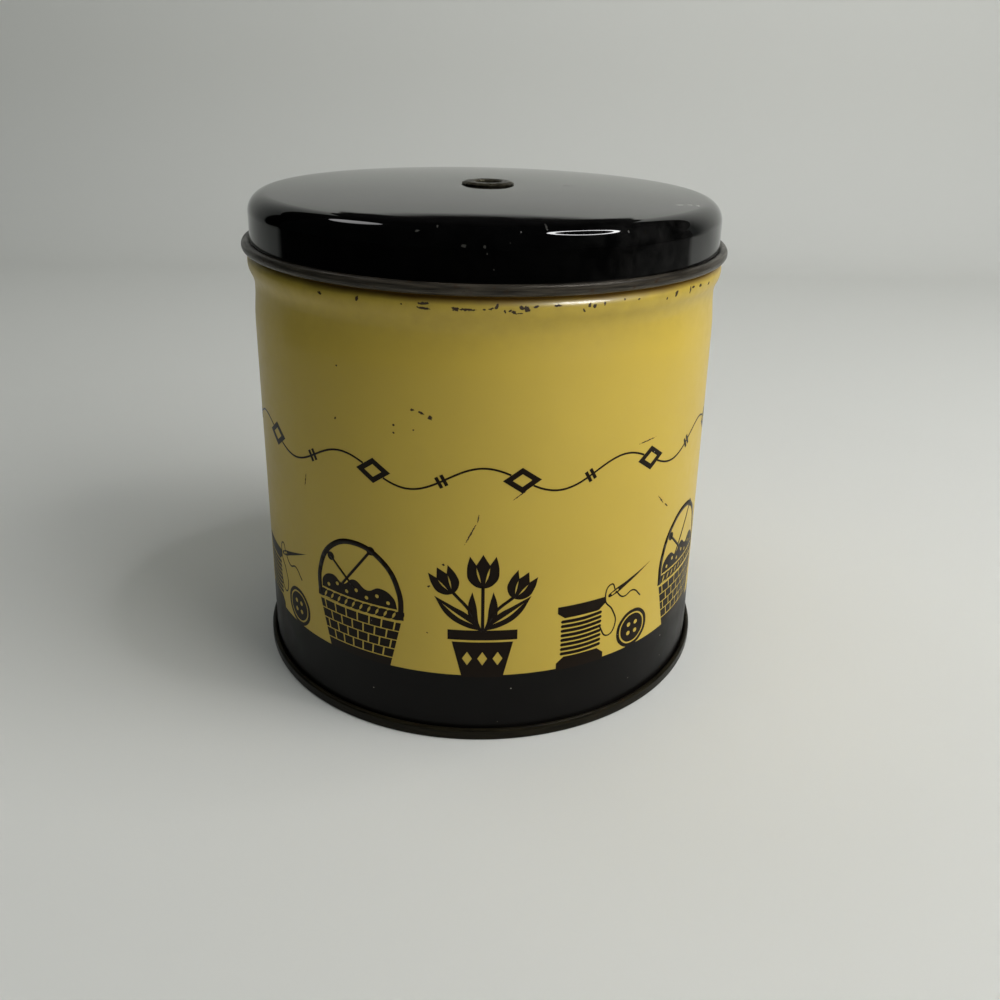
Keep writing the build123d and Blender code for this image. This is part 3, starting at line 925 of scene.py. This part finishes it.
def floor_paper():
    """Matt uncoated paper: pale grey, even and without gloss. What the tin's gloss mirrors of it
    is pale only round the tin's foot and behind it, up to a line, and dark elsewhere, so that
    the lid's front stays as black as its enamel. Lengths here are in metres."""
    finish, tree = new_finish("matt paper, pale grey")
    coordinates = add(tree, "TexCoord").outputs["Object"]
    axes = add(tree, "SeparateXYZ", {0: coordinates})
    aside = add(tree, "Math", {0: axes.outputs["X"]}, operation="ABSOLUTE")
    # In front of a line that runs back on both sides, and less so far out at the right
    back = add(tree, "Math", {0: aside, 1: -0.38, 2: axes.outputs["Y"]}, operation="MULTIPLY_ADD")
    front = add(tree, "MapRange", {0: back, 1: -0.02, 2: -0.09})
    glow = add(tree, "MapRange", {0: back, 1: -0.7, 2: -0.09, 4: 0.15})
    right = add(tree, "MapRange", {0: axes.outputs["X"], 1: 0.3, 2: 0.6})
    right_glow = add(tree, "Math", {0: glow, 1: right}, operation="MULTIPLY")
    front = add(tree, "Math", {0: front, 1: right_glow}, operation="SUBTRACT", use_clamp=True)
    away = add(tree, "VectorMath", {0: coordinates}, operation="LENGTH")
    far = add(tree, "MapRange", {0: away, 1: 0.33, 2: 0.45})
    far_front = add(tree, "Math", {0: front, 1: far}, operation="MULTIPLY")
    # Above a line that rises on both sides
    line_height = add(tree, "MapRange", {0: aside, 1: 0.15, 2: 0.31, 3: 0.306, 4: 0.68})
    over = add(tree, "Math", {0: axes.outputs["Z"], 1: line_height}, operation="SUBTRACT")
    above = add(tree, "MapRange", {0: over, 1: -0.005, 2: 0.005})
    # Beyond the left edge, where the sheet rises
    beyond = add(tree, "MapRange", {0: axes.outputs["X"], 1: -1.0, 2: -1.1})
    raised = add(tree, "MapRange", {0: axes.outputs["Z"], 1: 0.0, 2: 0.04})
    left = add(tree, "Math", {0: beyond, 1: raised}, operation="MULTIPLY")
    outside = add(tree, "Math", {0: far_front, 1: above}, operation="MAXIMUM")
    outside = add(tree, "Math", {0: outside, 1: left}, operation="MAXIMUM")
    rays = add(tree, "LightPath")
    unseen = add(tree, "Math", {0: rays.outputs["Is Glossy Ray"], 1: outside},
                 operation="MULTIPLY")
    colour = add(tree, "Mix", {0: unseen, 6: "#D4D4CF", 7: "#080808"}, data_type="RGBA")
    shader = add(tree, "BsdfPrincipled", {"Base Color": colour, "Roughness": 0.9})
    add(tree, "OutputMaterial", {"Surface": shader})
    return finish


def make_stage():
    """Floor: one pale sheet, in metres, that curves up behind the tin."""
    wide, deep, back_edge = 4, 2.6, 0.5
    bend_radius, bend_steps, rise = 0.15, 8, 1.1
    deselect()
    bpy.ops.mesh.primitive_plane_add(size=1, location=(0, 0, 0))
    sheet_of_paper = bpy.context.object
    sheet_of_paper.name = "studio_floor"
    sheet_of_paper.scale = (wide, deep, 1)
    sheet_of_paper.location = (0, back_edge - deep / 2, 0)
    settle(sheet_of_paper)
    edit(sheet_of_paper)
    bpy.ops.mesh.select_all(action="DESELECT")
    bpy.ops.object.mode_set(mode="OBJECT")
    mesh = sheet_of_paper.data
    for edge in mesh.edges:
        edge.select = all(mesh.vertices[v].co.y > back_edge - 0.1 for v in edge.vertices)
    bpy.ops.object.mode_set(mode="EDIT")
    bpy.ops.mesh.select_mode(type="EDGE")
    part_turn = pi / 2 / bend_steps
    chord = 2 * bend_radius * sin(part_turn / 2)
    for step in range(bend_steps):
        angle = part_turn * (step + 0.5)
        way = (0, chord * cos(angle), chord * sin(angle))
        bpy.ops.mesh.extrude_edges_move(TRANSFORM_OT_translate={"value": way})
    bpy.ops.mesh.extrude_edges_move(TRANSFORM_OT_translate={"value": (0, 0, rise)})
    bpy.ops.mesh.select_mode(type="VERT")
    bpy.ops.object.mode_set(mode="OBJECT")
    bpy.ops.object.shade_smooth()
    mesh.materials.append(floor_paper())


def lamp(name, azimuth, elevation, distance, size, power, glossy=True, hollow=0, only=None):
    """A soft round lamp, placed by its degrees round the tin from the front and up, its metres
    away and across, and its watts. A hollow one is a ring, with that share of its width open,
    and one for only some pieces is just their highlight."""
    a, e = radians(azimuth), radians(elevation)
    middle = Vector((0, 0, (cad_box[0].z + cad_box[1].z) / 2))
    light = bpy.data.lights.new(name, "AREA")
    light.shape = "DISK"
    light.size = size
    light.energy = power
    holder = bpy.data.objects.new(name, light)
    bpy.context.scene.collection.objects.link(holder)
    holder.location = middle + distance * Vector((sin(a) * cos(e), -cos(a) * cos(e), sin(e)))
    holder.rotation_euler = (middle - holder.location).to_track_quat("-Z", "Y").to_euler()
    holder.visible_glossy = glossy
    if only:
        holder.visible_diffuse = False
        lit_pieces = bpy.data.collections.new(name)
        for piece in only:
            lit_pieces.objects.link(piece)
        holder.light_linking.receiver_collection = lit_pieces
    if hollow:
        light.use_nodes = True
        tree = light.node_tree
        face = add(tree, "NewGeometry").outputs["Parametric"]
        across = add(tree, "VectorMath", {0: face, 1: (0.5, 0.5, 0)}, operation="DISTANCE")
        rim = add(tree, "Math", {0: across, 1: hollow / 2}, operation="GREATER_THAN")
        glow = add(tree, "Math", {0: rim, 1: 1 / (1 - hollow ** 2)}, operation="MULTIPLY")
        tree.links.new(glow.outputs[0], tree.nodes["Emission"].inputs["Strength"])


def make_camera():
    """The camera stands where the photograph's did."""
    pitch, yaw, roll_angle = radians(20.468), radians(-2.853), radians(1.677)
    focal_pixels, frame_pixels = 958.4, 1000
    axis_pixel = (529.8, 419.9)
    lens = bpy.data.cameras.new("camera")
    lens.sensor_width = 36
    lens.lens = focal_pixels / frame_pixels * lens.sensor_width
    lens.shift_x = 0.5 - axis_pixel[0] / frame_pixels
    lens.shift_y = axis_pixel[1] / frame_pixels - 0.5
    holder = bpy.data.objects.new("camera", lens)
    bpy.context.scene.collection.objects.link(holder)
    turn = Matrix.Rotation(yaw, 3, "Z") @ Matrix.Rotation(pi / 2 - pitch, 3, "X")
    holder.rotation_euler = (turn @ Matrix.Rotation(roll_angle, 3, "Z")).to_euler()
    holder.location = (0, -258.3 * mm, 158.2 * mm)
    bpy.context.scene.camera = holder


def make_world():
    """The room: pale for the camera, dim and a little cool on the tin, and dark where gloss
    mirrors it."""
    on_tin, in_gloss, to_camera = 0.065, 0.006, 0.62
    world = bpy.data.worlds.new("studio")
    bpy.context.scene.world = world
    world.use_nodes = True
    tree = world.node_tree
    tree.nodes.clear()
    rays = add(tree, "LightPath").outputs
    soft = add(tree, "Mix", {0: rays["Is Glossy Ray"], 2: on_tin, 3: in_gloss})
    strength = add(tree, "Mix", {0: rays["Is Camera Ray"], 2: soft, 3: to_camera})
    tint = add(tree, "Mix", {0: rays["Is Camera Ray"], 6: "#DCFBFF", 7: "#FFFFFF"},
               data_type="RGBA")
    back = add(tree, "Background", {"Strength": strength, "Color": tint})
    add(tree, "OutputWorld", {"Surface": back})


def make_studio(body):
    make_stage()
    make_camera()
    make_world()
    lamp("ring lamp", 79, 62.5, 0.75, 0.3, 1.5, hollow=0.8)
    lamp("far lamp", -121, 56.5, 0.8, 0.2, 0.28)
    lamp("bead lamp", 46, 31, 1.0, 0.42, 21.0, only=[body])
    lamp("side softbox", 64, 30, 1.0, 0.9, 8.4, glossy=False)
    lamp("overhead softbox", 0, 80, 1.3, 1.2, 3.2, glossy=False)


print_yellow = litho_yellow()
print_black = litho_black("lithographed tinplate, black band", "#070605", "#0D0B09", 0.3)
print_ink = litho_black("lithographed ink, black", "#120A03", "#1B1006", 0.12)
tin_inside = bare_tinplate()
lid_enamel = gloss_enamel()
curl_enamel = rubbed_edge("rubbed enamel on steel", "#27241F", "#4E483F", "#3A2A1A",
                          metallic=0.3, gloss=0.25, roughness=0.3)
ring_metal = rubbed_edge("lacquered tinplate, tarnished", "#110F0A", "#262217", "#2A1D11",
                         metallic=0.08, gloss=0.08, roughness=0.3)
eyelet_metal = eyelet_steel()
body = make_body(print_yellow, print_black, tin_inside)
make_base(ring_metal, tin_inside)
make_lid(lid_enamel, curl_enamel, tin_inside)
make_eyelet(eyelet_metal)
make_washer(eyelet_metal)
make_border(print_ink)
make_frieze(print_ink)
make_studio(body)
bpy.context.scene.view_settings.view_transform = "Standard"
